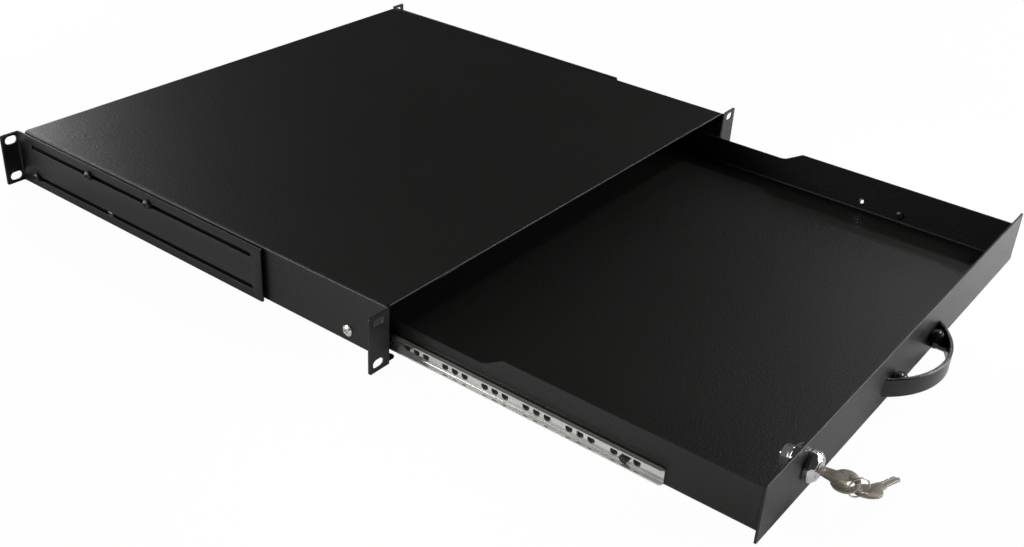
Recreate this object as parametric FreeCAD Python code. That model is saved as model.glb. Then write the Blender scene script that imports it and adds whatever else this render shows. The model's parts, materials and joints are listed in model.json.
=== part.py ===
import FreeCAD, Part
import math
import os

V = FreeCAD.Vector

# Front rack interface
EAR_SPAN = 482.6
EAR_HEIGHT = 43.7
SLOT_INSET = 8.75
SLOT_PITCH_Z = 31.75
RACK_SLOT_LENGTH = 10.4
RACK_SLOT_WIDTH = 6.8
EAR_CORNER_R = 2.0

# Case shell, one folded sheet
EAR_WIDTH = 19.3
CASE_DEPTH = 401.5
CASE_SHEET = 1.2
BEND_R = 1.0
CASE_LIP = 4.2
LIP_TAB_REACH = 4.2
LIP_TAB_LENGTH = 6.0
LIP_TAB_R = 2.4
REAR_FLANGE = 9.0
FLANGE_ROOT = 12.0
CORNER_RELIEF = 2.6
EAR_RELIEF = 0.7
EAR_LAP = 0.05
EDGE_R = 0.45

# Rear brackets, seen at their shortest setting
RACK_REACH = 403.3
BRACKET_LENGTH = 286.5
BRACKET_SHEET = 1.5
BRACKET_BEND_R = 1.5
BRACKET_GAP = 2.4
BRACKET_CORNER_R = 1.4
BRACKET_SLOT_PITCH = 26.1
BRACKET_SLOT_MARGIN = 10.0
BRACKET_SLOT_LENGTH = 259.0
BRACKET_SLOT_WIDTH = 3.6
SLOT_PLAY = 0.3
UPPER_SCREW_AT = (239.8, 310.8)

# Bracket fasteners
BRACKET_SHANK_R = 1.5
BRACKET_HEAD_R = 3.5
BRACKET_HEAD_H = 2.2
WASHER_R = 4.3
WASHER_T = 0.6
SPACER_R = 4.0
NUT_R = 3.3
NUT_T = 2.0
BORE_PLAY = 0.08

# Drawer, modelled fully open
TRAVEL = 270.8
PANEL_SHEET = 1.5
PANEL_LIP_GAP = 0.6
PANEL_TOP_GAP = 0.4
PANEL_LIFT = 0.34
PANEL_CORNER_R = 1.2
TRAY_SHEET = 1.2
TRAY_BEND_R = 1.8
TRAY_LIFT = 1.75
TRAY_LENGTH = 368.5
TRAY_WALL = 32.65
TRAY_LOW_WALL = 23.6
TALL_LENGTH = 184.3
STEP_LENGTH = 16.0
STEP_R = 14.0
TRAY_REAR_UP = 14.0
TRAY_ROOT = 10.0
TRAY_EYE_R = 2.5
TRAY_EYE_SETBACK = 126.9
TRAY_EYE_LIFT = 1.3

# Ball slides between case and tray
SLIDE_SPACE = 11.0
SLIDE_LIFT = 9.75
RAIL_SHEET = 1.0
RAIL_BEND_R = 0.4
OUTER_RAIL_H = 17.0
OUTER_RAIL_DEPTH = 9.9
OUTER_RAIL_LIP = 1.9
OUTER_RAIL_AT = 13.8
RAIL_END_GAP = 16.6
INNER_RAIL_H = 10.9
INNER_RAIL_DEPTH = 4.2
INNER_RAIL_LENGTH = 300.0
INNER_RAIL_SETBACK = 64.8
RAIL_NOSE = 1.5
RAIL_HOLE_R = 2.7
RAIL_HOLE_PITCH = 8.2
RAIL_HOLE_CYCLE = 33.0
RAIL_HOLE_START = 27.0
CAGE_SHEET = 0.8
CAGE_WEB_AT = 2.2
CAGE_DEPTH = 6.4
CAGE_LENGTH = 75.0
CAGE_AT = 16.0
BALLS_PER_ROW = 4
BALL_PITCH = 18.0
BALL_DEPTH = 7.25
BALL_FIT = 0.05

# Slide fasteners
SLIDE_SCREW_AT = (36.8, 291.8)
SLIDE_SHANK_R = 2.0
SLIDE_HEAD_R = 4.2
SLIDE_HEAD_H = 2.0
SLIDE_TIP = 0.5
RAIL_HEAD_R = 3.4
RAIL_HEAD_H = 1.4
RAIL_NUT_AF = 6.0
RAIL_NUT_T = 2.4

# Handle
HANDLE_X = 2.8
HANDLE_LIFT = 7.6
HANDLE_HEIGHT = 14.0
HANDLE_SPAN = 97.0
HANDLE_RISE = 23.4
HANDLE_BAND = 2.8
HANDLE_EDGE_R = 0.9
BOSS_PITCH = 68.0
BOSS_R = 6.7
HANDLE_SHANK_R = 1.65
HANDLE_THREAD = 6.0
HANDLE_HEAD_R = 3.8
HANDLE_HEAD_H = 2.2

# Cam lock
LOCK_X = -158.0
BEZEL_R = 10.2
BEZEL_RIM = 4.0
BEZEL_HEIGHT = 7.0
BEZEL_FACE_R = 7.6
BARREL_R = 8.0
BARREL_LENGTH = 10.2
BARREL_FLAT = 7.1
PLUG_R = 6.0
PLUG_FIT = 0.05
PLUG_PROUD = 0.4
PLUG_SHOULDER = 0.3
TAIL_R = 4.0
TAIL_FLAT = 3.0
TAIL_LENGTH = 6.8
LOCK_NUT_AF = 20.0
LOCK_NUT_T = 3.5
CAM_SHEET = 1.8
CAM_WIDTH = 12.6
CAM_REACH = 20.7
CAM_ANGLE = -20.5
CAM_NUT_AF = 12.0
CAM_NUT_T = 4.0

# Strike for the cam, under the case top
STRIKE_SHEET = 1.2
STRIKE_WIDTH = 18.0
STRIKE_DROP = 5.6
STRIKE_LEG = 6.5
STRIKE_PLAY = 1.3

# Keys and ring
KEY_SHEET = 1.6
KEY_ROLL = 12.0
BOW_R = 8.7
BOW_EYE_R = 2.4
BOW_EYE_AT = 3.3
BOW_NECK_W = 11.0
KEY_NECK = 15.0
KEY_NECK_W = 6.4
KEY_GAP = 0.5
BLADE_LENGTH = 16.1
BLADE_W = 5.2
BLADE_TIP = 2.0
BITTING = (0.7, 1.1, 0.5, 0.9)
BITTING_PITCH = 3.0
KEYWAY_PLAY = 0.2
RING_R = 6.8
RING_WIRE_R = 0.45
RING_HEADING = -38.0
RING_DIP = 32.0
SPARE_ROUND = 45.0
SPARE_HEADING = -13.7
SPARE_DIP = 9.3
SPARE_ROLL = -12.0

# Shapes of the screw heads and nuts, as shares of the head size
HEAD_RIM = 0.45
HEAD_CROWN = 0.62
RECESS_REACH = 0.5
RECESS_HALF = 0.12
RECESS_FLOOR = 0.45
HEX_SIDES = 6
NUT_CHAMFER = 30.0

# Shared allowances
HOLE_PLAY = 0.1
THROUGH = 1.0
TINY = 1e-4

# Datums: x across the rack, y into it from the seating face of the ears, z up
BOTTOM = -EAR_HEIGHT / 2
TOP = EAR_HEIGHT / 2
SLOT_PITCH_X = EAR_SPAN - 2 * SLOT_INSET
CASE_HALF = EAR_SPAN / 2 - EAR_WIDTH
CASE_IN = CASE_HALF - CASE_SHEET
CASE_ROOF = TOP - CASE_SHEET
BEND_OUT = BEND_R + CASE_SHEET
PANEL_FACE = -CASE_SHEET - TRAVEL
PANEL_HALF = CASE_HALF - CASE_LIP - PANEL_LIP_GAP
PANEL_LOW = BOTTOM + PANEL_LIFT
PANEL_HIGH = CASE_ROOF - PANEL_TOP_GAP
TRAY_HALF = CASE_IN - SLIDE_SPACE
TRAY_FRONT = PANEL_FACE + PANEL_SHEET
TRAY_REAR = TRAY_FRONT + TRAY_LENGTH
TRAY_FLOOR = BOTTOM + TRAY_LIFT
TRAY_TOP = TRAY_FLOOR + TRAY_WALL
TRAY_BEND_OUT = TRAY_BEND_R + TRAY_SHEET
SLIDE_Z = BOTTOM + SLIDE_LIFT
BRACKET_IN = CASE_HALF + BRACKET_GAP
BRACKET_FRONT = RACK_REACH - BRACKET_LENGTH
SLOT_REAR_END = BRACKET_FRONT + BRACKET_SLOT_MARGIN + BRACKET_SLOT_LENGTH
LOWER_SCREW_AT = SLOT_REAR_END - BRACKET_SLOT_WIDTH / 2 - SLOT_PLAY
OUTER_RAIL_END = LOWER_SCREW_AT - NUT_R - RAIL_END_GAP
LOCK_Z = (PANEL_LOW + PANEL_HIGH) / 2
HANDLE_Z = BOTTOM + HANDLE_LIFT + HANDLE_HEIGHT / 2
BACKING = PANEL_SHEET + TRAY_SHEET
CAM_AT = BARREL_LENGTH + PLUG_SHOULDER
INNER_RAIL_AT = PANEL_FACE + INNER_RAIL_SETBACK
RAIL_SCREW_AT = INNER_RAIL_AT + RAIL_HOLE_START
RAIL_CYCLES = int((INNER_RAIL_LENGTH - RAIL_HOLE_START - RAIL_HOLE_PITCH - RAIL_HOLE_R) / RAIL_HOLE_CYCLE)
RAIL_SCREWS = (RAIL_SCREW_AT, RAIL_SCREW_AT + RAIL_CYCLES * RAIL_HOLE_CYCLE)
FLANGE_IN = OUTER_RAIL_H / 2 - RAIL_SHEET
BALL_V = (FLANGE_IN + INNER_RAIL_H / 2) / 2
BALL_R = (FLANGE_IN - INNER_RAIL_H / 2) / 2 - BALL_FIT

X_AXIS = V(1, 0, 0)
Y_AXIS = V(0, 1, 0)
Z_AXIS = V(0, 0, 1)
ALONG_X = FreeCAD.Rotation(V(1, 1, 1), 120)
ALONG_Y = FreeCAD.Rotation(X_AXIS, 90)
ALONG_Z = FreeCAD.Rotation()


def line(a, b):
    return Part.LineSegment(a, b).toShape()


def arc(a, middle, b):
    return Part.Arc(a, middle, b).toShape()


def face_of(edges):
    return Part.Face(Part.Wire(Part.__sortEdges__(edges)))


def polygon(points):
    corners = [V(a, b, 0) for a, b in points]
    return Part.Face(Part.makePolygon(corners + corners[:1]))


def swept(face, rotation, axis, start, end):
    """Solid swept from a flat outline along one axis."""
    outline = face.copy()
    outline.Placement = FreeCAD.Placement(axis * start, rotation)
    return outline.extrude(axis * (end - start))


def block(low, high):
    size = high - low
    return Part.makeBox(size.x, size.y, size.z, low)


def pin(radius, start, axis, length):
    return Part.makeCylinder(radius, length, start, axis)


def oblong(a, b, length, width):
    """Outline of a slot centred on (a, b), long way along the first axis."""
    r = width / 2
    reach = length / 2 - r
    return face_of([
        line(V(a - reach, b - r, 0), V(a + reach, b - r, 0)),
        arc(V(a + reach, b - r, 0), V(a + reach + r, b, 0), V(a + reach, b + r, 0)),
        line(V(a + reach, b + r, 0), V(a - reach, b + r, 0)),
        arc(V(a - reach, b + r, 0), V(a - reach - r, b, 0), V(a - reach, b - r, 0)),
    ])


def folded(corners, sheet, bend_r):
    """Outline of a folded strip: corners on one skin, sheet left of the path, or right if negative."""
    gauge = abs(sheet)
    side = sheet / gauge
    points = [V(a, b, 0) for a, b in corners]
    runs = [(q - p).normalize() for p, q in zip(points, points[1:])]
    normals = [V(-d.y, d.x, 0) * side for d in runs]
    near_skin = []
    far_skin = []
    start = points[0]
    for i, corner in enumerate(points[1:-1]):
        towards = runs[i].cross(runs[i + 1]).z * side > 0
        near_r = bend_r + gauge if towards else bend_r
        far_r = bend_r if towards else bend_r + gauge
        reach = near_r * math.tan(runs[i].getAngle(runs[i + 1]) / 2)
        a = corner - runs[i] * reach
        b = corner + runs[i + 1] * reach
        centre = a + normals[i] * (near_r if towards else -near_r)
        outward = (corner - centre).normalize()
        near_skin += [line(start, a), arc(a, centre + outward * near_r, b)]
        skin_a = a + normals[i] * gauge
        skin_b = b + normals[i + 1] * gauge
        far_skin.append(line(start + normals[i] * gauge, skin_a))
        far_skin.append(arc(skin_a, centre + outward * far_r, skin_b))
        start = b
    end = points[-1]
    near_skin.append(line(start, end))
    far_skin.append(line(start + normals[-1] * gauge, end + normals[-1] * gauge))
    caps = [line(points[0], points[0] + normals[0] * gauge), line(end, end + normals[-1] * gauge)]
    return face_of(near_skin + far_skin + caps)


def straight_edges(shape, axis, wanted):
    """Straight edges along an axis whose middle point passes the test."""
    chosen = []
    for edge in shape.Edges:
        if edge.Curve.TypeId != "Part::GeomLine":
            continue
        run = edge.Vertexes[1].Point - edge.Vertexes[0].Point
        if run.cross(axis).Length < TINY and wanted(edge.CenterOfMass):
            chosen.append(edge)
    return chosen


def near(a, b):
    return abs(a - b) < TINY


def mirrored(shape):
    return shape.mirror(V(0, 0, 0), X_AXIS)


def both_sides(solids):
    return Part.makeCompound(solids + [mirrored(s) for s in solids])


def hex_nut(across_flats, thickness, bore_r):
    """Nut standing on z = 0, its upper corners turned down."""
    corner_r = across_flats / 2 / math.cos(math.pi / HEX_SIDES)
    points = []
    for k in range(HEX_SIDES):
        angle = 2 * math.pi * k / HEX_SIDES
        points.append((corner_r * math.cos(angle), corner_r * math.sin(angle)))
    blank = polygon(points).extrude(Z_AXIS * thickness)
    spread = thickness / math.tan(math.radians(NUT_CHAMFER))
    turned = Part.makeCone(across_flats / 2 + spread, across_flats / 2, thickness)
    return blank.common(turned).cut(pin(bore_r, V(0, 0, -THROUGH), Z_AXIS, thickness + 2 * THROUGH))


def pan_screw(head_r, head_h, shank_r, shank_length):
    """Cross-recessed screw: seat on z = 0, head up, shank down."""
    rim = head_h * HEAD_RIM
    head = pin(head_r, V(0, 0, 0), Z_AXIS, rim)
    head = head.fuse(Part.makeCone(head_r, head_r * HEAD_CROWN, head_h - rim, V(0, 0, rim), Z_AXIS))
    arm = head_r * RECESS_REACH
    width = head_r * RECESS_HALF
    floor = head_h * RECESS_FLOOR
    recess = block(V(-arm, -width, floor), V(arm, width, head_h + THROUGH))
    recess = recess.fuse(block(V(-width, -arm, floor), V(width, arm, head_h + THROUGH)))
    return head.cut(recess).fuse(pin(shank_r, V(0, 0, 0), -Z_AXIS, shank_length))


def ring_disc(outer_r, bore_r, thickness):
    return pin(outer_r, V(0, 0, 0), Z_AXIS, thickness).cut(
        pin(bore_r, V(0, 0, -THROUGH), Z_AXIS, thickness + 2 * THROUGH))


def placed(shape, point, axis):
    """Copy with its own z axis turned to the given axis and its origin at the point."""
    copy = shape.copy()
    copy.Placement = FreeCAD.Placement(point, FreeCAD.Rotation(Z_AXIS, axis)).multiply(shape.Placement)
    return copy


def bracket_screw_spots():
    high = BRACKET_SLOT_PITCH / 2
    return [(y, high) for y in UPPER_SCREW_AT] + [(LOWER_SCREW_AT, -high)]


def case_shell():
    lip = CASE_HALF - CASE_LIP
    body = folded([(lip, BOTTOM), (CASE_HALF, BOTTOM), (CASE_HALF, TOP),
                   (-CASE_HALF, TOP), (-CASE_HALF, BOTTOM), (-lip, BOTTOM)], CASE_SHEET, BEND_R)
    shell = swept(body, ALONG_Y, Y_AXIS, BEND_R, CASE_DEPTH - BEND_OUT)
    flange = folded([(CASE_DEPTH, TOP - REAR_FLANGE), (CASE_DEPTH, TOP), (CASE_DEPTH - FLANGE_ROOT, TOP)],
                    CASE_SHEET, BEND_R)
    half_flange = CASE_HALF - CORNER_RELIEF
    shell = shell.fuse(swept(flange, ALONG_X, X_AXIS, -half_flange, half_flange))
    ear = folded([(-EAR_SPAN / 2, -CASE_SHEET), (-CASE_IN, -CASE_SHEET), (-CASE_IN, BEND_R + EAR_LAP)],
                 CASE_SHEET, BEND_R)
    ear = swept(ear, ALONG_Z, Z_AXIS, BOTTOM, TOP)
    ear = ear.makeFillet(EAR_CORNER_R, straight_edges(ear, Y_AXIS, lambda p: near(p.x, -EAR_SPAN / 2)))
    tab = block(V(lip - LIP_TAB_REACH, BEND_R, BOTTOM),
                V(CASE_HALF - BEND_OUT, BEND_R + LIP_TAB_LENGTH, BOTTOM + CASE_SHEET))
    tab = tab.makeFillet(LIP_TAB_R, straight_edges(tab, Z_AXIS, lambda p: p.x < lip))
    for side in (ear, mirrored(ear), tab, mirrored(tab)):
        shell = shell.fuse(side)
    cutters = []
    for sign in (-1, 1):
        inner = sign * (CASE_HALF - CORNER_RELIEF)
        outer = sign * (CASE_HALF + BEND_OUT)
        cutters.append(block(V(min(inner, outer), -CASE_SHEET - THROUGH, TOP - EAR_RELIEF),
                             V(max(inner, outer), CORNER_RELIEF, TOP + THROUGH)))
        for z in (-SLOT_PITCH_Z / 2, SLOT_PITCH_Z / 2):
            slot = oblong(sign * SLOT_PITCH_X / 2, z, RACK_SLOT_LENGTH, RACK_SLOT_WIDTH)
            cutters.append(swept(slot, ALONG_Y, Y_AXIS, -CASE_SHEET - THROUGH, THROUGH))
        wall = V(sign * (CASE_IN - THROUGH), 0, 0)
        reach = CASE_SHEET + 2 * THROUGH
        for y, z in bracket_screw_spots():
            cutters.append(pin(BRACKET_SHANK_R + HOLE_PLAY, wall + V(0, y, z), X_AXIS * sign, reach))
        for y in SLIDE_SCREW_AT:
            cutters.append(pin(SLIDE_SHANK_R + HOLE_PLAY, wall + V(0, y, SLIDE_Z), X_AXIS * sign, reach))
    shell = shell.cut(cutters).removeSplitter()
    mouth = straight_edges(shell, X_AXIS, lambda p: near(p.y, BEND_R) and near(p.z, TOP))
    return shell.makeFillet(EDGE_R, mouth)


def lock_strike():
    back = -CASE_SHEET + CAM_AT - STRIKE_PLAY
    angle = folded([(back, CASE_ROOF - STRIKE_DROP), (back, CASE_ROOF), (back - STRIKE_LEG, CASE_ROOF)],
                   STRIKE_SHEET, BEND_R)
    return swept(angle, ALONG_X, X_AXIS, LOCK_X - STRIKE_WIDTH / 2, LOCK_X + STRIKE_WIDTH / 2)


def rear_bracket():
    back = RACK_REACH + BRACKET_SHEET
    angle = folded([(BRACKET_IN, BRACKET_FRONT), (BRACKET_IN, back), (EAR_SPAN / 2, back)],
                   -BRACKET_SHEET, BRACKET_BEND_R)
    plate = swept(angle, ALONG_Z, Z_AXIS, BOTTOM, TOP)
    corners = straight_edges(plate, X_AXIS, lambda p: near(p.y, BRACKET_FRONT))
    corners += straight_edges(plate, Y_AXIS, lambda p: near(p.x, EAR_SPAN / 2))
    plate = plate.makeFillet(BRACKET_CORNER_R, corners)
    middle = SLOT_REAR_END - BRACKET_SLOT_LENGTH / 2
    outside = BRACKET_IN + BRACKET_SHEET
    cutters = []
    for sign in (-1, 1):
        slot = oblong(middle, sign * BRACKET_SLOT_PITCH / 2, BRACKET_SLOT_LENGTH, BRACKET_SLOT_WIDTH)
        cutters.append(swept(slot, ALONG_X, X_AXIS, BRACKET_IN - THROUGH, outside + THROUGH))
        hole = oblong(SLOT_PITCH_X / 2, sign * SLOT_PITCH_Z / 2, RACK_SLOT_LENGTH, RACK_SLOT_WIDTH)
        cutters.append(swept(hole, ALONG_Y, Y_AXIS, RACK_REACH - THROUGH, back + THROUGH))
    return plate.cut(cutters)


def bracket_fasteners():
    """Spacers, washers, screws and wall nuts of the right bracket, each a list."""
    washer_at = BRACKET_IN + BRACKET_SHEET
    head_at = washer_at + WASHER_T
    screw = pan_screw(BRACKET_HEAD_R, BRACKET_HEAD_H, BRACKET_SHANK_R, head_at - CASE_IN + NUT_T)
    bore = BRACKET_SHANK_R + BORE_PLAY
    kinds = [
        (ring_disc(SPACER_R, bore, BRACKET_GAP), CASE_HALF),
        (ring_disc(WASHER_R, bore, WASHER_T), washer_at),
        (screw, head_at),
        (ring_disc(NUT_R, bore, NUT_T), CASE_IN - NUT_T),
    ]
    return [[placed(shape, V(x, y, z), X_AXIS) for y, z in bracket_screw_spots()] for shape, x in kinds]


def slide_screws():
    screw = pan_screw(SLIDE_HEAD_R, SLIDE_HEAD_H, SLIDE_SHANK_R, CASE_SHEET + RAIL_SHEET + SLIDE_TIP)
    return [placed(screw, V(CASE_HALF, y, SLIDE_Z), X_AXIS) for y in SLIDE_SCREW_AT]


def outer_rail():
    inward = CASE_IN - OUTER_RAIL_DEPTH
    low = SLIDE_Z - OUTER_RAIL_H / 2
    high = SLIDE_Z + OUTER_RAIL_H / 2
    channel = folded([(inward, low + OUTER_RAIL_LIP), (inward, low), (CASE_IN, low), (CASE_IN, high),
                      (inward, high), (inward, high - OUTER_RAIL_LIP)], RAIL_SHEET, RAIL_BEND_R)
    rail = swept(channel, ALONG_Y, Y_AXIS, OUTER_RAIL_AT, OUTER_RAIL_END)
    web = CASE_IN - RAIL_SHEET - THROUGH
    holes = [pin(SLIDE_SHANK_R + HOLE_PLAY, V(web, y, SLIDE_Z), X_AXIS, RAIL_SHEET + 2 * THROUGH)
             for y in SLIDE_SCREW_AT]
    return rail.cut(holes)


def inner_rail():
    edge = TRAY_HALF + INNER_RAIL_DEPTH
    low = SLIDE_Z - INNER_RAIL_H / 2
    high = SLIDE_Z + INNER_RAIL_H / 2
    channel = folded([(edge, high), (TRAY_HALF, high), (TRAY_HALF, low), (edge, low)],
                     RAIL_SHEET, RAIL_BEND_R)
    rear = INNER_RAIL_AT + INNER_RAIL_LENGTH
    rail = swept(channel, ALONG_Y, Y_AXIS, INNER_RAIL_AT, rear)
    cutters = []
    for y, run in ((INNER_RAIL_AT, RAIL_NOSE), (rear, -RAIL_NOSE)):
        nose = polygon([(edge - 2 * RAIL_NOSE, y - run), (edge + RAIL_NOSE, y + 2 * run),
                        (edge + RAIL_NOSE, y - run)])
        cutters.append(swept(nose, ALONG_Z, Z_AXIS, low - THROUGH, high + THROUGH))
    for cycle in range(RAIL_CYCLES + 1):
        for step in (-1, 0, 1):
            y = RAIL_SCREW_AT + cycle * RAIL_HOLE_CYCLE + step * RAIL_HOLE_PITCH
            tapped = any(near(y, screw_y) for screw_y in RAIL_SCREWS)
            r = SLIDE_SHANK_R + HOLE_PLAY if tapped else RAIL_HOLE_R
            cutters.append(pin(r, V(TRAY_HALF - THROUGH, y, SLIDE_Z), X_AXIS, RAIL_SHEET + 2 * THROUGH))
    return rail.cut(cutters)


def rail_screws():
    grip = TRAY_SHEET + RAIL_SHEET + RAIL_NUT_T
    screw = pan_screw(RAIL_HEAD_R, RAIL_HEAD_H, SLIDE_SHANK_R, grip + SLIDE_TIP)
    return [placed(screw, V(TRAY_HALF - TRAY_SHEET, y, SLIDE_Z), -X_AXIS) for y in RAIL_SCREWS]


def rail_nuts():
    """Nuts inside the rail's channel, flats towards its flanges."""
    nut = hex_nut(RAIL_NUT_AF, RAIL_NUT_T, SLIDE_SHANK_R + BORE_PLAY)
    nut.rotate(V(0, 0, 0), Z_AXIS, 180 / HEX_SIDES)
    return [placed(nut, V(TRAY_HALF + RAIL_SHEET, y, SLIDE_Z), X_AXIS) for y in RAIL_SCREWS]


def ball_spots():
    first = CAGE_AT + (CAGE_LENGTH - (BALLS_PER_ROW - 1) * BALL_PITCH) / 2
    spots = []
    for row in (-1, 1):
        for k in range(BALLS_PER_ROW):
            spots.append(V(CASE_IN - BALL_DEPTH, first + k * BALL_PITCH, SLIDE_Z + row * BALL_V))
    return spots


def ball_cage():
    reach = BALL_V + CAGE_SHEET / 2
    web = CASE_IN - CAGE_WEB_AT
    edge = web - CAGE_DEPTH
    strip = folded([(edge, SLIDE_Z - reach), (web, SLIDE_Z - reach), (web, SLIDE_Z + reach),
                    (edge, SLIDE_Z + reach)], CAGE_SHEET, RAIL_BEND_R)
    cage = swept(strip, ALONG_Y, Y_AXIS, CAGE_AT, CAGE_AT + CAGE_LENGTH)
    pockets = [pin(BALL_R + BALL_FIT, spot - Z_AXIS * CAGE_SHEET, Z_AXIS, 2 * CAGE_SHEET)
               for spot in ball_spots()]
    return cage.cut(pockets)


def cage_balls():
    return Part.makeCompound([Part.makeSphere(BALL_R, spot) for spot in ball_spots()])


def handle_spots():
    return [HANDLE_X - BOSS_PITCH / 2, HANDLE_X + BOSS_PITCH / 2]


def drawer_tray():
    across = folded([(-TRAY_HALF, TRAY_TOP), (-TRAY_HALF, TRAY_FLOOR), (TRAY_HALF, TRAY_FLOOR),
                     (TRAY_HALF, TRAY_TOP)], TRAY_SHEET, TRAY_BEND_R)
    tray = swept(across, ALONG_Y, Y_AXIS, TRAY_FRONT + TRAY_BEND_OUT, TRAY_REAR - TRAY_BEND_OUT)
    half_up = TRAY_HALF - TRAY_BEND_OUT
    front = folded([(TRAY_FRONT, TRAY_TOP), (TRAY_FRONT, TRAY_FLOOR), (TRAY_FRONT + TRAY_ROOT, TRAY_FLOOR)],
                   TRAY_SHEET, TRAY_BEND_R)
    rear = folded([(TRAY_REAR - TRAY_ROOT, TRAY_FLOOR), (TRAY_REAR, TRAY_FLOOR),
                   (TRAY_REAR, TRAY_FLOOR + TRAY_REAR_UP)], TRAY_SHEET, TRAY_BEND_R)
    for upstand in (front, rear):
        tray = tray.fuse(swept(upstand, ALONG_X, X_AXIS, -half_up, half_up))
    low = TRAY_FLOOR + TRAY_LOW_WALL
    over = TRAY_TOP + THROUGH
    step = TRAY_FRONT + TALL_LENGTH
    above = polygon([(step, over), (step, TRAY_TOP), (step + STEP_LENGTH, low), (TRAY_REAR + THROUGH, low),
                     (TRAY_REAR + THROUGH, over)])
    above = swept(above, ALONG_X, X_AXIS, -CASE_HALF, CASE_HALF)
    heel = straight_edges(above, X_AXIS, lambda p: near(p.y, step + STEP_LENGTH) and near(p.z, low))
    cutters = [above.makeFillet(STEP_R, heel)]
    for sign in (-1, 1):
        wall = sign * (TRAY_HALF - TRAY_SHEET - THROUGH)
        holes = [(y, SLIDE_Z, SLIDE_SHANK_R + HOLE_PLAY) for y in RAIL_SCREWS]
        holes.append((PANEL_FACE + TRAY_EYE_SETBACK, SLIDE_Z + TRAY_EYE_LIFT, TRAY_EYE_R))
        for y, z, r in holes:
            cutters.append(pin(r, V(wall, y, z), X_AXIS * sign, TRAY_SHEET + 2 * THROUGH))
    cutters += front_cutters(TRAY_FRONT - THROUGH, TRAY_SHEET + 2 * THROUGH)
    return tray.cut(cutters).removeSplitter()


def front_cutters(y, length):
    """Lock and handle holes through the drawer front."""
    holes = [pin(BARREL_R + HOLE_PLAY, V(LOCK_X, y, LOCK_Z), Y_AXIS, length)]
    for x in handle_spots():
        holes.append(pin(HANDLE_SHANK_R + HOLE_PLAY, V(x, y, HANDLE_Z), Y_AXIS, length))
    return holes


def front_panel():
    plate = block(V(-PANEL_HALF, PANEL_FACE, PANEL_LOW), V(PANEL_HALF, TRAY_FRONT, PANEL_HIGH))
    plate = plate.makeFillet(PANEL_CORNER_R, straight_edges(plate, Y_AXIS, lambda p: True))
    face = [e for e in plate.Edges if near(e.BoundBox.YMax, PANEL_FACE)]
    plate = plate.makeFillet(EDGE_R, face)
    return plate.cut(front_cutters(PANEL_FACE - THROUGH, PANEL_SHEET + 2 * THROUGH))


def handle():
    half = HANDLE_SPAN / 2
    r = (half * half + HANDLE_RISE * HANDLE_RISE) / (2 * HANDLE_RISE)
    centre = r - HANDLE_RISE
    r_in = r - HANDLE_BAND
    foot = math.sqrt(r_in * r_in - centre * centre)
    band = face_of([
        arc(V(-half, 0, 0), V(0, -HANDLE_RISE, 0), V(half, 0, 0)),
        line(V(half, 0, 0), V(foot, 0, 0)),
        arc(V(foot, 0, 0), V(0, HANDLE_BAND - HANDLE_RISE, 0), V(-foot, 0, 0)),
        line(V(-foot, 0, 0), V(-half, 0, 0)),
    ])
    bow = band.extrude(Z_AXIS * HANDLE_HEIGHT)
    bow = bow.makeFillet(HANDLE_EDGE_R, [e for e in bow.Edges if e.Curve.TypeId == "Part::GeomCircle"])
    middle = HANDLE_HEIGHT / 2
    within = pin(r - HANDLE_BAND / 2, V(0, centre, 0), Z_AXIS, HANDLE_HEIGHT)
    for x in (-BOSS_PITCH / 2, BOSS_PITCH / 2):
        bow = bow.fuse(pin(BOSS_R, V(x, 0, middle), -Y_AXIS, HANDLE_RISE).common(within))
    for x in (-BOSS_PITCH / 2, BOSS_PITCH / 2):
        start = V(x, THROUGH, middle)
        bow = bow.cut(pin(HANDLE_SHANK_R + HOLE_PLAY, start, -Y_AXIS, HANDLE_THREAD + 2 * THROUGH))
    bow.translate(V(HANDLE_X, PANEL_FACE, HANDLE_Z - middle))
    return bow


def handle_screws():
    screw = pan_screw(HANDLE_HEAD_R, HANDLE_HEAD_H, HANDLE_SHANK_R, BACKING + HANDLE_THREAD)
    return [placed(screw, V(x, PANEL_FACE + BACKING, HANDLE_Z), Y_AXIS) for x in handle_spots()]


def lock_at(depth):
    """Point on the lock axis, measured back from the panel face."""
    return V(LOCK_X, PANEL_FACE + depth, LOCK_Z)


def lock_housing():
    body = pin(BARREL_R, lock_at(0), Y_AXIS, BARREL_LENGTH)
    for sign in (-1, 1):
        near_x = LOCK_X + sign * BARREL_FLAT
        far_x = LOCK_X + sign * BEZEL_R
        body = body.cut(block(V(min(near_x, far_x), PANEL_FACE + BACKING, LOCK_Z - BEZEL_R),
                              V(max(near_x, far_x), PANEL_FACE + BARREL_LENGTH + THROUGH, LOCK_Z + BEZEL_R)))
    body = body.fuse(pin(BEZEL_R, lock_at(0), -Y_AXIS, BEZEL_RIM))
    crown = BEZEL_HEIGHT - BEZEL_RIM
    body = body.fuse(Part.makeCone(BEZEL_R, BEZEL_FACE_R, crown, lock_at(-BEZEL_RIM), -Y_AXIS))
    return body.cut(pin(PLUG_R + PLUG_FIT, lock_at(-BEZEL_HEIGHT - THROUGH), Y_AXIS,
                        BEZEL_HEIGHT + BARREL_LENGTH + 2 * THROUGH))


def lock_nut():
    nut = hex_nut(LOCK_NUT_AF, LOCK_NUT_T, BARREL_R + BORE_PLAY)
    return placed(nut, lock_at(BACKING), Y_AXIS)


def flatted(r, flat, thickness):
    """Round bar on z = 0 with two flats."""
    return pin(r, V(0, 0, 0), Z_AXIS, thickness).common(block(V(-r, -flat, 0), V(r, flat, thickness)))


def along_lock(shape, depth, roll):
    """Turn a shape built along z onto the lock axis: its x axis points to the roll angle, z to the back."""
    copy = shape.copy()
    aim = FreeCAD.Rotation(X_AXIS, -90)
    copy.Placement = FreeCAD.Placement(lock_at(depth), FreeCAD.Rotation(Y_AXIS, -roll).multiply(aim))
    return copy


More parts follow.
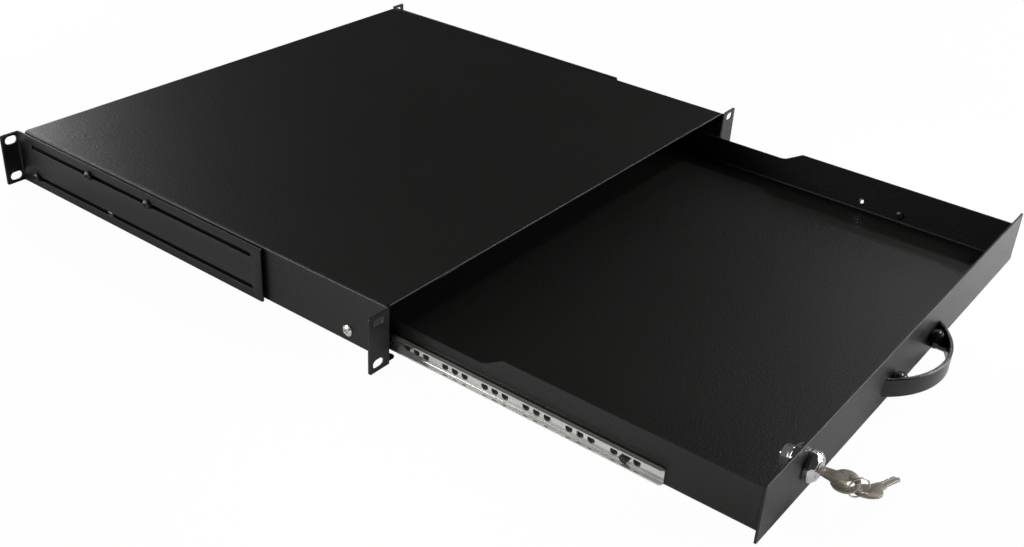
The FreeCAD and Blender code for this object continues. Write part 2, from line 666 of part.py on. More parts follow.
def lock_plug():
    front = -BEZEL_HEIGHT - PLUG_PROUD
    plug = pin(PLUG_R, lock_at(front), Y_AXIS, CAM_AT - front)
    plug = plug.fuse(along_lock(flatted(TAIL_R, TAIL_FLAT, TAIL_LENGTH), CAM_AT, CAM_ANGLE))
    half_w = BLADE_W / 2 + KEYWAY_PLAY
    half_t = KEY_SHEET / 2 + KEYWAY_PLAY
    keyway = block(V(-half_w, -half_t, -THROUGH), V(half_w, half_t, BLADE_LENGTH + KEYWAY_PLAY))
    return plug.cut(along_lock(keyway, front, KEY_ROLL))


def lock_cam():
    hub_r = CAM_WIDTH / 2
    arm = oblong((CAM_REACH - hub_r) / 2, 0, CAM_REACH + hub_r, CAM_WIDTH).extrude(Z_AXIS * CAM_SHEET)
    hole = flatted(TAIL_R + BORE_PLAY, TAIL_FLAT + BORE_PLAY, CAM_SHEET)
    return along_lock(arm.cut(hole), CAM_AT, CAM_ANGLE)


def cam_nut():
    nut = hex_nut(CAM_NUT_AF, CAM_NUT_T, TAIL_R + BORE_PLAY)
    return along_lock(nut, CAM_AT + CAM_SHEET, CAM_ANGLE)


def key_blank():
    """Key lying flat: bow on the origin, blade along +x, middle of the sheet on z = 0."""
    half_t = KEY_SHEET / 2
    tip = KEY_NECK + KEY_GAP + BLADE_LENGTH
    key = pin(BOW_R, V(0, 0, -half_t), Z_AXIS, KEY_SHEET)
    neck = polygon([(0, -BOW_NECK_W / 2), (KEY_NECK, -KEY_NECK_W / 2), (KEY_NECK, KEY_NECK_W / 2),
                    (0, BOW_NECK_W / 2)])
    key = key.fuse(swept(neck, ALONG_Z, Z_AXIS, -half_t, half_t))
    blade = [(0, -BLADE_W / 2), (tip - BLADE_TIP, -BLADE_W / 2), (tip, 0), (tip - BLADE_TIP, BLADE_W / 2)]
    for k, depth in enumerate(BITTING):
        at = tip - BLADE_TIP - (k + 0.5) * BITTING_PITCH
        blade += [(at + depth, BLADE_W / 2), (at, BLADE_W / 2 - depth), (at - depth, BLADE_W / 2)]
    blade.append((0, BLADE_W / 2))
    key = key.fuse(swept(polygon(blade), ALONG_Z, Z_AXIS, -half_t, half_t))
    eye = pin(BOW_EYE_R, V(-BOW_EYE_AT, 0, -half_t - THROUGH), Z_AXIS, KEY_SHEET + 2 * THROUGH)
    return key.cut(eye).removeSplitter()


def key_bow_at():
    return lock_at(-BEZEL_HEIGHT - PLUG_PROUD - KEY_GAP - KEY_NECK)


def key_in_lock():
    turn = FreeCAD.Rotation(Y_AXIS, -KEY_ROLL).multiply(FreeCAD.Rotation(Z_AXIS, 90))
    key = key_blank()
    key.Placement = FreeCAD.Placement(key_bow_at(), turn)
    return key


def around_ring(degrees):
    """Direction in the upright plane of the ring, measured down from its level heading."""
    heading = math.radians(RING_HEADING)
    down = math.radians(degrees)
    return V(math.cos(heading) * math.cos(down), math.sin(heading) * math.cos(down), -math.sin(down))


def ring_centre():
    """The wire runs through the eye of the key, and the ring droops from there."""
    return key_bow_at() - Y_AXIS * BOW_EYE_AT + around_ring(RING_DIP) * RING_R


def key_ring():
    return Part.makeTorus(RING_R, RING_WIRE_R, ring_centre(), Z_AXIS.cross(around_ring(0)))


def spare_key():
    """Second key on the lower side of the ring."""
    wire = ring_centre() + around_ring(SPARE_ROUND) * RING_R
    turn = FreeCAD.Rotation(Z_AXIS, SPARE_HEADING).multiply(FreeCAD.Rotation(Y_AXIS, SPARE_DIP))
    turn = turn.multiply(FreeCAD.Rotation(X_AXIS, SPARE_ROLL))
    key = key_blank()
    key.Placement = FreeCAD.Placement(wire + turn.multVec(X_AXIS * BOW_EYE_AT), turn)
    return key


os.makedirs("parts", exist_ok=True)

spacers, washers, screws, nuts = bracket_fasteners()
pairs = {
    "rear_bracket": rear_bracket(),
    "outer_rail": outer_rail(),
    "inner_rail": inner_rail(),
    "ball_cage": ball_cage(),
    "cage_balls": cage_balls(),
}
nodes = {
    "case_shell": case_shell(),
    "lock_strike": lock_strike(),
    "bracket_spacers": both_sides(spacers),
    "bracket_washers": both_sides(washers),
    "bracket_screws": both_sides(screws),
    "bracket_nuts": both_sides(nuts),
    "slide_screws": both_sides(slide_screws()),
    "drawer_tray": drawer_tray(),
    "front_panel": front_panel(),
    "rail_screws": both_sides(rail_screws()),
    "rail_nuts": both_sides(rail_nuts()),
    "handle": handle(),
    "handle_screws": Part.makeCompound(handle_screws()),
    "lock_housing": lock_housing(),
    "lock_nut": lock_nut(),
    "lock_plug": lock_plug(),
    "lock_cam": lock_cam(),
    "cam_nut": cam_nut(),
    "key": key_in_lock(),
    "key_ring": key_ring(),
    "spare_key": spare_key(),
}
for name, shape in pairs.items():
    nodes[name + "_right"] = shape
    nodes[name + "_left"] = mirrored(shape)

for name, shape in nodes.items():
    shape.exportStep(f"parts/{name}.step")
    print(f"{name}: {len(shape.Solids)} solid(s), {shape.Volume:.1f} cubic mm")
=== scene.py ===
# %% [markdown]
# # A rack keyboard drawer, dressed for the camera
# The solid parts come packed from the CAD step, already in place and in metres. This lesson gives each of
# them its real finish, remakes the small pieces whose form the solids only hint at, and sets up a plain
# studio. The frame: x runs across the rack, y into it, z up, and the origin is the centre of the front rack
# slots.

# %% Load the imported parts
import json
import math
import bpy
from mathutils import Matrix, Vector


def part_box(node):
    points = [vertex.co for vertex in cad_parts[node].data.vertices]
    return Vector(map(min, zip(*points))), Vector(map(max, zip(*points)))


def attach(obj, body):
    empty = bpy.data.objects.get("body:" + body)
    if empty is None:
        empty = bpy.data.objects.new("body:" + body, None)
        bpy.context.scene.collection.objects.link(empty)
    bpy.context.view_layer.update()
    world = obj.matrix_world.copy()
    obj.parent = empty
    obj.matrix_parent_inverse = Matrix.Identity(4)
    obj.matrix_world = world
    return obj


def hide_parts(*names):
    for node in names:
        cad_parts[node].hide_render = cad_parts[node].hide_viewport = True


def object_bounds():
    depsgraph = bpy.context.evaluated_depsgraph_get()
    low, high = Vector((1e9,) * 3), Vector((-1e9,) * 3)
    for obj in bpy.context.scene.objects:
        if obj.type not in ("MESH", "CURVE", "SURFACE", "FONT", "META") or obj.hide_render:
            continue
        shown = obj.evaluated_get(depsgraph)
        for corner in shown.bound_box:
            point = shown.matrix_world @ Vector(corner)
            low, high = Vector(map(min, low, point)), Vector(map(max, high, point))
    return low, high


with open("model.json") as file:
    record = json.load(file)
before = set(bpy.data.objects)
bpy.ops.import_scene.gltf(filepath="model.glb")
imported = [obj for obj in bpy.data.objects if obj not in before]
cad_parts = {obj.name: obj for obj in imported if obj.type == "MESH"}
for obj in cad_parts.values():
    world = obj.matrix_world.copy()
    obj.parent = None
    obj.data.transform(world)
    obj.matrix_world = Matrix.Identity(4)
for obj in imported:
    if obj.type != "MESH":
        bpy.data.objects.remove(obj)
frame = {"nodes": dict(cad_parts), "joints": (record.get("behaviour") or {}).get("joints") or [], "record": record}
CAD_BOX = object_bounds()
MM = 0.001

# %% [markdown]
# ## A kit for finishes
# Colours are written as the hex values a paint chip would be read at, so they need turning to linear light.
# A finish is a small graph of nodes, which could be wired by hand in the shader editor. In a script, one
# helper adds a node, sets its options and fills its sockets, either with a plain value or with a link from
# an earlier node, so every finish below reads as a list of steps.

# %% Colour and node helpers
# The Mix node's colour sockets go by number, because their names repeat for each kind of data.
MIX_FACTOR, MIX_A, MIX_B = 0, 6, 7
MIX_RESULT = 2


def linear(hex_colour):
    """sRGB hex to the linear colour a shader socket takes."""
    parts = [int(hex_colour[k:k + 2], 16) / 255 for k in (1, 3, 5)]
    return tuple(c / 12.92 if c <= 0.04045 else ((c + 0.055) / 1.055) ** 2.4 for c in parts) + (1.0,)


def add_node(tree, kind, sockets=None, **settings):
    """Add a node, set its options, then set or link its input sockets by name or number."""
    node = tree.nodes.new(kind)
    for name, value in settings.items():
        setattr(node, name, value)
    for name, value in (sockets or {}).items():
        if isinstance(value, bpy.types.NodeSocket):
            tree.links.new(value, node.inputs[name])
        else:
            node.inputs[name].default_value = value
    return node


def new_finish(name):
    """Empty material with its surface shader wired up; returns the material, its tree and the shader."""
    finish = bpy.data.materials.new(name)
    finish.use_nodes = True
    tree = finish.node_tree
    tree.nodes.clear()
    surface = add_node(tree, "ShaderNodeBsdfPrincipled")
    add_node(tree, "ShaderNodeOutputMaterial", {"Surface": surface.outputs["BSDF"]})
    return finish, tree, surface


def per_metre(size_mm):
    """Texture scale at which one feature is the given size."""
    return 1 / (size_mm * MM)


print("white as linear light:", linear("#ffffff"))

# %% [markdown]
# ## Black powder coat
# The folded sheet is sprayed with dry polyester powder and baked. It flows into a satin film with a fine
# grit that breaks reflections into tiny specks. A picture of a coated panel could be wrapped round each
# part, but it would stretch and repeat. Two noises in the part's own space do neither: one at the grit's
# size drives the bump and the gloss, and a slow one drifts the colour, as a film of uneven thickness does.

# %% Powder coat finish
# Baked powder gives the eye a near-black satin that lifts to grey where light meets it at a low angle.
# The real grit is a few tenths of a millimetre. It is drawn coarser, because it would be too fine to show.
GRIT_MM = 1.9
GRIT_DEPTH_MM = 0.3
GRIT_RELIEF = 0.8
DRIFT_MM = 90.0
POWDER_ROUGH = (0.32, 0.48)
POWDER_SPECULAR = 0.37

powder_coat, tree, surface = new_finish("powder_coated_steel")
place = add_node(tree, "ShaderNodeTexCoord").outputs["Object"]
grit = add_node(tree, "ShaderNodeTexNoise", {"Vector": place, "Scale": per_metre(GRIT_MM), "Detail": 3.0,
                                             "Roughness": 0.6})
drift = add_node(tree, "ShaderNodeTexNoise", {"Vector": place, "Scale": per_metre(DRIFT_MM), "Detail": 2.0})
film = add_node(tree, "ShaderNodeMix", {MIX_FACTOR: drift.outputs["Fac"], MIX_A: linear("#12110f"),
                                        MIX_B: linear("#181716")}, data_type="RGBA")
gloss = add_node(tree, "ShaderNodeMapRange", {"Value": grit.outputs["Fac"], "To Min": POWDER_ROUGH[0],
                                              "To Max": POWDER_ROUGH[1]})
bumps = add_node(tree, "ShaderNodeBump", {"Height": grit.outputs["Fac"], "Strength": GRIT_RELIEF,
                                          "Distance": GRIT_DEPTH_MM * MM})
tree.links.new(film.outputs[MIX_RESULT], surface.inputs["Base Color"])
tree.links.new(gloss.outputs["Result"], surface.inputs["Roughness"])
tree.links.new(bumps.outputs["Normal"], surface.inputs["Normal"])
surface.inputs["Specular IOR Level"].default_value = POWDER_SPECULAR
print("powder coat grit", GRIT_MM, "mm")

# %% [markdown]
# ## Bright zinc, chrome, nickel and black oxide
# The slides and loose hardware are zinc plated and rolled, so their sheen is streaked along the rail. The
# lock is polished chrome, the keys are worn nickel plate over brass, and the small bracket screws are
# blackened steel. Each could have a graph of its own, but all are metals that differ in a few values: the
# colour is the reflection's tint, and the roughness carries the story. So one function builds them. A
# metallic value below one stands for the dull film that handling and passivation leave on a plate.

# %% Plated finishes
STREAK_RELIEF = 0.15
STREAK_DEPTH_MM = 0.02


def plated(name, light, dark, rough, streak_mm, grain, metallic=1.0):
    """Metal whose tint and roughness vary in streaks; a grain below one stretches them along y."""
    finish, tree, surface = new_finish(name)
    place = add_node(tree, "ShaderNodeTexCoord").outputs["Object"]
    run = add_node(tree, "ShaderNodeMapping", {"Vector": place, "Scale": (1.0, grain, 1.0)})
    streak = add_node(tree, "ShaderNodeTexNoise", {"Vector": run.outputs["Vector"], "Detail": 4.0,
                                                   "Scale": per_metre(streak_mm), "Roughness": 0.55})
    tint = add_node(tree, "ShaderNodeMix", {MIX_FACTOR: streak.outputs["Fac"], MIX_A: linear(dark),
                                            MIX_B: linear(light)}, data_type="RGBA")
    sheen = add_node(tree, "ShaderNodeMapRange", {"Value": streak.outputs["Fac"], "To Min": rough[0],
                                                  "To Max": rough[1]})
    ripple = add_node(tree, "ShaderNodeBump", {"Height": streak.outputs["Fac"], "Strength": STREAK_RELIEF,
                                               "Distance": STREAK_DEPTH_MM * MM})
    tree.links.new(tint.outputs[MIX_RESULT], surface.inputs["Base Color"])
    tree.links.new(sheen.outputs["Result"], surface.inputs["Roughness"])
    tree.links.new(ripple.outputs["Normal"], surface.inputs["Normal"])
    surface.inputs["Metallic"].default_value = metallic
    return finish


# Rolled zinc: an almost white mirror with fine streaks along the rail.
zinc = plated("bright_zinc_plate", "#f6f6f4", "#c9c9c5", (0.07, 0.18), 0.8, 0.06, 0.85)
# Polished chrome: a hard, slightly cold mirror.
chrome = plated("polished_chrome_plate", "#e4e5e6", "#d2d4d6", (0.05, 0.12), 3.0, 1.0)
# Worn nickel: dull and warm, with brown patches where the brass shows through.
nickel = plated("worn_nickel_plate", "#cbc3b5", "#564f43", (0.3, 0.52), 1.0, 0.8, 0.62)
# Spring wire: a brighter nickel, rubbed smooth by the keys.
spring_wire = plated("bright_nickel_spring_wire", "#f4f1ea", "#d9d5cc", (0.16, 0.3), 0.7, 1.0, 0.8)
# Bearing steel: a plain grey polish.
bearing = plated("polished_bearing_steel", "#d8d8d8", "#c8c8ca", (0.06, 0.14), 1.0, 1.0)
# Black oxide: a dark, oily grey with a soft sheen.
oxide = plated("black_oxide_steel", "#55534f", "#363532", (0.3, 0.46), 0.9, 1.0)
print("plated finishes:", zinc.name, chrome.name, nickel.name, spring_wire.name, bearing.name, oxide.name)

# %% [markdown]
# ## Moulded black handle
# The bow is a glossy black moulding. A plain black with an even gloss would look like a computer's idea of
# it: a real resin skin keeps a faint waviness from the mould, so a slow noise is mixed into its colour, its
# gloss and its bump.

# %% Handle finish
# Moulded resin gives the eye a deep black with small, soft highlights whose edges are slightly broken.
MOULD_WAVE_MM = 6.0
MOULD_DEPTH_MM = 0.05
MOULD_RELIEF = 0.1
MOULD_ROUGH = (0.2, 0.3)

moulding, tree, surface = new_finish("black_moulded_resin")
place = add_node(tree, "ShaderNodeTexCoord").outputs["Object"]
wave = add_node(tree, "ShaderNodeTexNoise", {"Vector": place, "Scale": per_metre(MOULD_WAVE_MM),
                                             "Detail": 2.0})
skin = add_node(tree, "ShaderNodeMix", {MIX_FACTOR: wave.outputs["Fac"], MIX_A: linear("#09090a"),
                                        MIX_B: linear("#101011")}, data_type="RGBA")
shine = add_node(tree, "ShaderNodeMapRange", {"Value": wave.outputs["Fac"], "To Min": MOULD_ROUGH[0],
                                              "To Max": MOULD_ROUGH[1]})
soft = add_node(tree, "ShaderNodeBump", {"Height": wave.outputs["Fac"], "Strength": MOULD_RELIEF,
                                         "Distance": MOULD_DEPTH_MM * MM})
tree.links.new(skin.outputs[MIX_RESULT], surface.inputs["Base Color"])
tree.links.new(shine.outputs["Result"], surface.inputs["Roughness"])
tree.links.new(soft.outputs["Normal"], surface.inputs["Normal"])
print("handle finish:", moulding.name)

# %% [markdown]
# ## Dress the CAD parts
# Each part could be picked and given its material by name. The record already names a material slot for
# each part, so one finish per slot dresses them all, and a new part would be dressed without another line.

# %% Give each part its finish
FINISH = {
    "black_powder_coat": powder_coat,
    "zinc_plate": zinc,
    "bearing_steel": bearing,
    "chrome_plate": chrome,
    "nickel_plate": nickel,
    "black_oxide": oxide,
    "black_plastic": moulding,
}
for row in frame["record"]["subparts"]:
    part = frame["nodes"][row["node"]]
    part.data.materials.clear()
    part.data.materials.append(FINISH[row["material_slot"]])

# %% [markdown]
# ## Rounded edges
# Stamped, cast and sheared pieces have no razor edges: tumbling, plating and baked powder round them by a
# few tenths of a millimetre, and those slim rounds carry the brightest highlights. A fresh model would only
# repeat what the CAD holds, so a part is copied, its loose triangles are merged, flat areas are dissolved
# back to single faces, and a Bevel modifier limited by angle rounds what is still sharp. The copy then
# stands for the CAD part.

# %% Helpers for pieces that stand for a CAD part
SLOT_OF = {row["node"]: row["material_slot"] for row in frame["record"]["subparts"]}
BODY_OF = {node: body for body, nodes in frame["record"]["behaviour"]["bodies"].items() for node in nodes}
MERGE_GAP = 0.002 * MM
FLAT_ANGLE = math.radians(0.5)
SHARP_ANGLE = math.radians(35)


def deselect():
    """Leave edit mode and select nothing, because an operator acts on all that is selected."""
    if bpy.context.object and bpy.context.object.mode != "OBJECT":
        bpy.ops.object.mode_set(mode="OBJECT")
    bpy.ops.object.select_all(action="DESELECT")


def merged_copy(node, name):
    """Copy of a CAD part with its triangles joined up, active and selected."""
    deselect()
    piece = bpy.data.objects.new(name, frame["nodes"][node].data.copy())
    bpy.context.scene.collection.objects.link(piece)
    bpy.context.view_layer.objects.active = piece
    piece.select_set(True)
    bpy.ops.mesh.customdata_custom_splitnormals_clear()
    bpy.ops.object.mode_set(mode="EDIT")
    bpy.ops.mesh.select_all(action="SELECT")
    bpy.ops.mesh.remove_doubles(threshold=MERGE_GAP)
    bpy.ops.mesh.dissolve_limited(angle_limit=FLAT_ANGLE)
    bpy.ops.object.mode_set(mode="OBJECT")
    return piece


def round_edges(piece, width_mm, segments):
    """Round the sharp edges of the active piece."""
    rim = piece.modifiers.new("rounded_edges", "BEVEL")
    rim.width = width_mm * MM
    rim.segments = segments
    rim.limit_method = "ANGLE"
    rim.angle_limit = SHARP_ANGLE
    rim.use_clamp_overlap = False
    bpy.ops.object.modifier_apply(modifier=rim.name)
    bpy.ops.object.shade_smooth_by_angle(angle=SHARP_ANGLE)


def combine(piece, tool, operation):
    """Boolean of a closed piece with a closed tool, which is used up."""
    step = piece.modifiers.new("combine", "BOOLEAN")
    step.operation = operation
    step.solver = "MANIFOLD"
    step.object = tool
    deselect()
    bpy.context.view_layer.objects.active = piece
    piece.select_set(True)
    bpy.ops.object.modifier_apply(modifier=step.name)
    bpy.data.objects.remove(tool)


def stand_for(piece, node):
    """Give a finished piece the part's finish and body, and hide the part."""
    piece.data.materials.clear()
    piece.data.materials.append(FINISH[SLOT_OF[node]])
    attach(piece, BODY_OF[node])
    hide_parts(node)
    print(piece.name, "stands for", node, "with", len(piece.data.polygons), "faces")


# %% Lock, cam and sheet pieces with rounded edges
# For each part: the new piece's name, the width of its rounds in mm and the faces across a round.
ROUNDED = {
    "lock_housing": ("turned_lock_bezel", 0.7, 4),
    "lock_plug": ("keyed_lock_plug", 0.2, 2),
    "lock_cam": ("stamped_lock_cam", 0.3, 3),
    "rear_bracket_left": ("left_bracket_sheet", 0.3, 3),
    "rear_bracket_right": ("right_bracket_sheet", 0.3, 3),
}
for node, (name, width_mm, segments) in ROUNDED.items():
    piece = merged_copy(node, name)
    round_edges(piece, width_mm, segments)
    stand_for(piece, node)

# %% [markdown]
# ## Keys
# A flat key is stamped from sheet brass, notched along one edge, milled with a groove along each side of
# the blade so it enters only its own keyway, and nickel plated. The grooves could be faked with a bump, but
# a real groove has walls that shade each other. So both are cut with a Boolean from a long slim block that
# is laid along the blade, before the edges are rounded, so that the grooves' rims round as well.

# %% Where the two keys lie
# A key's own origin is the middle of its bow, with the blade along x.
BOW_FROM_PANEL = 22.9 * MM
BOW_FROM_EYE = 3.3 * MM
KEY_ROLL = math.radians(-12.0)
SPARE_HEADING, SPARE_DIP, SPARE_ROLL = (math.radians(a) for a in (-13.7, 9.3, -12.0))
JOINT = {joint["name"]: joint for joint in frame["joints"]}

key_pose = (Matrix.Translation(Vector(JOINT["lock_turn"]["pos_m"]) - Vector((0, BOW_FROM_PANEL, 0)))
            @ Matrix.Rotation(KEY_ROLL, 4, "Y") @ Matrix.Rotation(math.radians(90), 4, "Z"))
spare_pose = (Matrix.Translation(JOINT["spare_swing"]["pos_m"])
              @ Matrix.Rotation(SPARE_HEADING, 4, "Z") @ Matrix.Rotation(SPARE_DIP, 4, "Y")
              @ Matrix.Rotation(SPARE_ROLL, 4, "X") @ Matrix.Translation((BOW_FROM_EYE, 0, 0)))
print("keys at", [[round(c / MM, 1) for c in pose.translation] for pose in (key_pose, spare_pose)], "mm")

# %% Milled keys
KEY_HALF = 0.8 * MM
GROOVE = (17.4 * MM, 1.3 * MM, 0.9 * MM)
GROOVE_START = 15.2 * MM
GROOVE_OFFSET = 0.55 * MM
KEY_ROUND_MM = 0.2
KEY_ROUND_FACES = 2


def mill_grooves(piece, pose):
    """Cut a groove along both faces of a blade whose key lies flat along x in its own pose."""
    for side in (-1, 1):
        bpy.ops.mesh.primitive_cube_add(size=1)
        mill = bpy.context.object
        at = Vector((GROOVE_START + GROOVE[0] / 2, side * GROOVE_OFFSET, side * KEY_HALF))
        mill.matrix_world = pose @ Matrix.Translation(at) @ Matrix.Diagonal(GROOVE + (1.0,))
        combine(piece, mill, "DIFFERENCE")


for node, name, pose in (("key", "milled_key", key_pose), ("spare_key", "milled_spare_key", spare_pose)):
    piece = merged_copy(node, name)
    mill_grooves(piece, pose)
    round_edges(piece, KEY_ROUND_MM, KEY_ROUND_FACES)
    stand_for(piece, node)

# %% [markdown]
# ## Bow handle
# The pull is one resin moulding: a bent band whose feet swell into domed bosses that take the screws. The
# CAD part has plain round bosses. It could be modelled afresh, but its band is right already, so a copy
# keeps it. The upper half of what lies inside the curve is shaved off with a Boolean from one wide disc,
# and a squashed sphere, cut flat where it meets the drawer front, is welded into each foot. A dome gathers
# the light to a spot, where a round pin would draw a line.

# %% Measure the bow
BAND = 2.8 * MM

low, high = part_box("handle")
middle = (low + high) / 2
half_span, rise = (high.x - low.x) / 2, high.y - low.y
bow_radius = (half_span ** 2 + rise ** 2) / (2 * rise)
bow_handle = merged_copy("handle", "domed_bow_handle")
print("bow radius", round(bow_radius / MM, 1), "mm")

# %% Shave the round bosses
# The disc cuts a hair into the band and a little below the domes' widest ring, so no faces fall together.
SHAVE = 0.15 * MM
SHAVE_LOW = 0.35 * MM
DISC_SIDES = 256

bpy.ops.mesh.primitive_cylinder_add(vertices=DISC_SIDES, radius=bow_radius - BAND + SHAVE,
                                    depth=high.z - low.z + 2 * SHAVE_LOW,
                                    location=(middle.x, low.y + bow_radius, high.z))
combine(bow_handle, bpy.context.object, "DIFFERENCE")
print("shaved bow has", len(bow_handle.data.polygons), "faces")

# %% Weld a dome into each foot and bore its screw hole
# A dome ends a hair short of the drawer front, and the bore is a hair wider than the part's own, so that
# no faces fall together here either.
BOSS_PITCH = 68.0 * MM
DOME = (8.0 * MM, 6.2 * MM, 6.9 * MM)
DOME_OUT = 4.5 * MM
DOME_SHORT = 0.02 * MM
DOME_SEGMENTS = 64
DOME_RINGS = 32
SCREW_HOLE_R = 1.8 * MM
SCREW_HOLE_DEEP = 6.2 * MM
SCREW_HOLE_SIDES = 32

for side in (-1, 1):
    foot = Vector((middle.x + side * BOSS_PITCH / 2, high.y, middle.z))
    bpy.ops.mesh.primitive_uv_sphere_add(segments=DOME_SEGMENTS, ring_count=DOME_RINGS, radius=1,
                                         location=foot - Vector((0, DOME_OUT, 0)), scale=DOME)
    bpy.ops.object.transform_apply(location=True, rotation=True, scale=True)
    dome = bpy.context.object
    bpy.ops.object.mode_set(mode="EDIT")
    bpy.ops.mesh.select_all(action="SELECT")
    bpy.ops.mesh.bisect(plane_co=foot - Vector((0, DOME_SHORT, 0)), plane_no=(0, 1, 0), clear_outer=True,
                        use_fill=True)
    bpy.ops.object.mode_set(mode="OBJECT")
    combine(bow_handle, dome, "UNION")
    bpy.ops.mesh.primitive_cylinder_add(vertices=SCREW_HOLE_SIDES, radius=SCREW_HOLE_R,
                                        depth=2 * SCREW_HOLE_DEEP, location=foot,
                                        rotation=(math.radians(90), 0, 0))
    combine(bow_handle, bpy.context.object, "DIFFERENCE")

bpy.ops.object.mode_set(mode="EDIT")
bpy.ops.mesh.select_all(action="SELECT")
bpy.ops.mesh.remove_doubles(threshold=MERGE_GAP)
bpy.ops.mesh.dissolve_degenerate(threshold=MERGE_GAP)
bpy.ops.object.mode_set(mode="OBJECT")
bpy.ops.object.shade_smooth_by_angle(angle=SHARP_ANGLE)
stand_for(bow_handle, "handle")

# %% [markdown]
# ## Split ring
# The keys hang on a split ring: flat spring wire wound twice, so a key can be threaded in between the
# turns. A torus would pass from afar, but the seam between the turns is what makes it a split ring. A
# circle is squashed to the wire's flat section, a Screw modifier winds it round twice, and the two cut ends
# are filled.

# %% Wind the wire
WIRE_WIDE = 1.0 * MM
WIRE_THICK = 0.45 * MM
WIRE_SIDES = 16
RING_R = 6.8 * MM
RING_PITCH = 0.47 * MM
RING_TURNS = 2
STEPS_PER_TURN = 72

wire_at = Vector((RING_R, 0, 0))
deselect()
bpy.ops.mesh.primitive_circle_add(vertices=WIRE_SIDES, radius=WIRE_WIDE / 2, location=wire_at,
                                  rotation=(math.radians(90), 0, 0), enter_editmode=True)
bpy.ops.transform.resize(value=(1, 1, WIRE_THICK / WIRE_WIDE), center_override=wire_at)
bpy.ops.object.mode_set(mode="OBJECT")
bpy.ops.object.transform_apply(location=True, rotation=True, scale=True)
split_ring = bpy.context.object
split_ring.name = "wound_split_ring"
wind = split_ring.modifiers.new("wind", "SCREW")
wind.screw_offset = RING_PITCH
wind.iterations = RING_TURNS
wind.steps = wind.render_steps = STEPS_PER_TURN
bpy.ops.object.modifier_apply(modifier=wind.name)
print("wound", RING_TURNS, "turns with", len(split_ring.data.polygons), "faces")

# %% Close the wire's ends and hang the ring in the key
RING_HEADING = math.radians(-38.0)

bpy.ops.object.mode_set(mode="EDIT")
bpy.ops.mesh.select_mode(type="EDGE")
bpy.ops.mesh.select_all(action="DESELECT")
bpy.ops.mesh.select_non_manifold()
bpy.ops.mesh.fill_holes(sides=0)
bpy.ops.mesh.select_all(action="SELECT")
bpy.ops.mesh.normals_make_consistent(inside=False)
bpy.ops.transform.translate(value=(0, 0, -RING_PITCH * RING_TURNS / 2))
bpy.ops.object.mode_set(mode="OBJECT")
low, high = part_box("key_ring")
split_ring.rotation_euler = (math.radians(-90), 0, RING_HEADING)
split_ring.location = (low + high) / 2
bpy.ops.object.transform_apply(location=True, rotation=True)
bpy.ops.object.shade_smooth_by_angle(angle=SHARP_ANGLE)
stand_for(split_ring, "key_ring")
split_ring.data.materials[0] = spring_wire

# %% [markdown]
# ## Studio floor
# The object stands on a white paper sweep. Paper lit until it burns out would flood the black steel with
# light from below. So the paper is plain and diffuse to the light, and glows white only to the camera, with
# a trace of that glow in what metal and satin faces mirror.

# %% Floor
FLOOR_SIZE = 14.0
FLOOR_GAP = 0.0002
FLOOR_WHITE = 0.97
MIRROR_TRACE = 0.045

deselect()
bpy.ops.mesh.primitive_plane_add(size=FLOOR_SIZE, location=(0, 0, CAD_BOX[0].z - FLOOR_GAP))
floor = bpy.context.object
floor.name = "studio_floor"
sweep = bpy.data.materials.new("white_sweep")
sweep.use_nodes = True
tree = sweep.node_tree
tree.nodes.clear()
rays = add_node(tree, "ShaderNodeLightPath")
mirrored = add_node(tree, "ShaderNodeMath", {0: rays.outputs["Is Glossy Ray"],
                                             1: rays.outputs["Is Transmission Ray"]}, operation="MAXIMUM")
trace = add_node(tree, "ShaderNodeMath", {0: mirrored.outputs[0], 1: MIRROR_TRACE}, operation="MULTIPLY")
plain = add_node(tree, "ShaderNodeMath", {0: rays.outputs["Is Camera Ray"], 1: FLOOR_WHITE},
                 operation="MULTIPLY")
share = add_node(tree, "ShaderNodeMath", {0: plain.outputs[0], 1: trace.outputs[0]}, operation="MAXIMUM")
paper = add_node(tree, "ShaderNodeBsdfDiffuse", {"Color": linear("#f4f4f4")})
glow = add_node(tree, "ShaderNodeEmission", {"Color": linear("#ffffff"), "Strength": 1.0})
both = add_node(tree, "ShaderNodeMixShader", {0: share.outputs[0], 1: paper.outputs[0], 2: glow.outputs[0]})
add_node(tree, "ShaderNodeOutputMaterial", {"Surface": both.outputs[0]})
floor.data.materials.append(sweep)
print("floor at", round(CAD_BOX[0].z / MM, 2), "mm")

# %% [markdown]
# ## Lights
# Black satin shows little but what it mirrors, so each panel is placed for the face that mirrors it. A low
# panel behind grazes the case top, one in front and to the right lights the drawer front, and two on the
# left light the case side and the slide. Two small ones on the right draw highlights on edges, the lock and
# the handle's domes, and a weak low one there grazes the tray floor. Two narrow washes light only the paper
# beside the slide and beside the drawer front, and the zinc and the satin mirror that. One big dome of
# light would be simpler, but it turns every face the same grey.

# %% Lights
LAMP_DISTANCE = 1.7
WIDE_SPREAD = 180
WASH_SPREAD = 40


def soft_panel(name, azimuth, elevation, size, watts, aim=(0, 0, 0), distance=LAMP_DISTANCE,
               spread=WIDE_SPREAD):
    """Rectangular soft light; azimuth in degrees from +y towards +x, seen from the point it is aimed at."""
    lamp = bpy.data.lights.new(name, "AREA")
    lamp.shape = "RECTANGLE"
    lamp.size, lamp.size_y = size
    lamp.energy = watts
    lamp.spread = math.radians(spread)
    panel = bpy.data.objects.new(name, lamp)
    bpy.context.scene.collection.objects.link(panel)
    across, up = math.radians(azimuth), math.radians(elevation)
    way = Vector((math.sin(across) * math.cos(up), math.cos(across) * math.cos(up), math.sin(up)))
    panel.location = Vector(aim) + way * distance
    panel.rotation_euler = (-way).to_track_quat("-Z", "Y").to_euler()
    panel.visible_camera = False
    # A wash is not mirrored itself: only the paper that it lights is.
    panel.visible_glossy = spread == WIDE_SPREAD


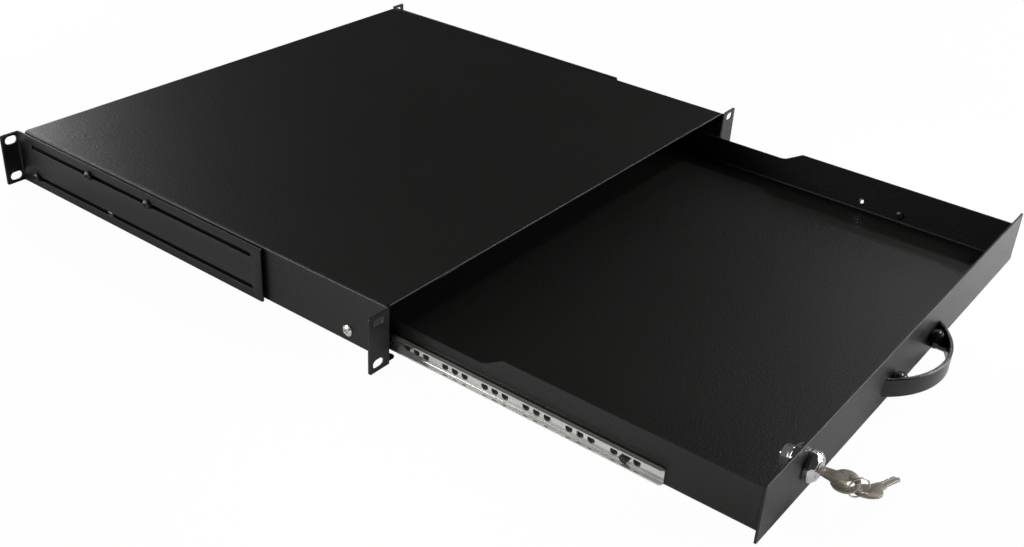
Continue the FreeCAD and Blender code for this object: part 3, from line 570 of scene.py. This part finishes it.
soft_panel("low_back_panel", 0, 10, (0.9, 0.6), 23)
soft_panel("front_panel_light", 145, 13, (1.2, 0.8), 29)
soft_panel("left_back_panel", 312, 18, (1.0, 0.5), 11.5)
soft_panel("left_panel", 285, 20, (1.0, 0.9), 2.5)
soft_panel("right_panel", 88, 32, (0.16, 0.16), 0.6)
soft_panel("handle_sparkle", 99, 43, (0.16, 0.16), 8.0, (0.03, -0.28, -0.007))
soft_panel("low_right_panel", 90, 12, (0.8, 0.8), 0.6)
soft_panel("right_floor_wash", 158, 55, (0.25, 0.25), 0.36, (0.24, -0.30, -0.022), 0.76, WASH_SPREAD)
soft_panel("left_floor_wash", 268, 52, (0.3, 0.2), 0.22, (-0.27, -0.11, -0.022), 0.79, WASH_SPREAD)

# %% [markdown]
# ## Room
# The room is dim, so that shadows are not quite black. The camera sees it as white as the paper, so that no
# horizon shows from a low angle.

# %% Room
ROOM_LEVEL = 0.045

room = bpy.data.worlds.new("dim_room")
room.use_nodes = True
tree = room.node_tree
tree.nodes.clear()
rays = add_node(tree, "ShaderNodeLightPath")
seen = add_node(tree, "ShaderNodeMath", {0: rays.outputs["Is Camera Ray"], 1: FLOOR_WHITE},
                operation="MULTIPLY")
level = add_node(tree, "ShaderNodeMath", {0: seen.outputs[0], 1: ROOM_LEVEL}, operation="MAXIMUM")
backdrop = add_node(tree, "ShaderNodeBackground", {"Color": linear("#ffffff"), "Strength": level.outputs[0]})
add_node(tree, "ShaderNodeOutputWorld", {"Surface": backdrop.outputs[0]})
bpy.context.scene.world = room
bpy.context.scene.view_settings.view_transform = "Standard"
print("room level", ROOM_LEVEL)

# %% [markdown]
# ## Camera
# A camera could be pushed about until the picture looks right. Here the lens and stance were solved from
# the rack ears, whose slots have standard distances. The camera stands to the left of the open drawer,
# looks down by about thirty degrees and is rolled by a little over three.

# %% Camera
CAMERA_AT = Vector((-0.72102, -0.45833, 0.44845))
CAMERA_AZIMUTH = -54.113
CAMERA_ELEVATION = 30.450
CAMERA_ROLL = 3.428
FOCAL_PX = 1228.82
IMAGE_WIDTH = 1024
SENSOR_WIDTH = 36.0
NEAREST_SEEN = 0.01

eye = bpy.data.cameras.new("photo_camera")
eye.sensor_width = SENSOR_WIDTH
eye.lens = SENSOR_WIDTH * FOCAL_PX / IMAGE_WIDTH
eye.clip_start = NEAREST_SEEN
camera = bpy.data.objects.new("photo_camera", eye)
bpy.context.scene.collection.objects.link(camera)
turn = (Matrix.Rotation(math.radians(CAMERA_AZIMUTH), 4, "Z")
        @ Matrix.Rotation(math.radians(90 - CAMERA_ELEVATION), 4, "X")
        @ Matrix.Rotation(math.radians(CAMERA_ROLL), 4, "Z"))
camera.matrix_world = Matrix.Translation(CAMERA_AT) @ turn
bpy.context.scene.camera = camera
print("lens", round(eye.lens, 2), "mm")
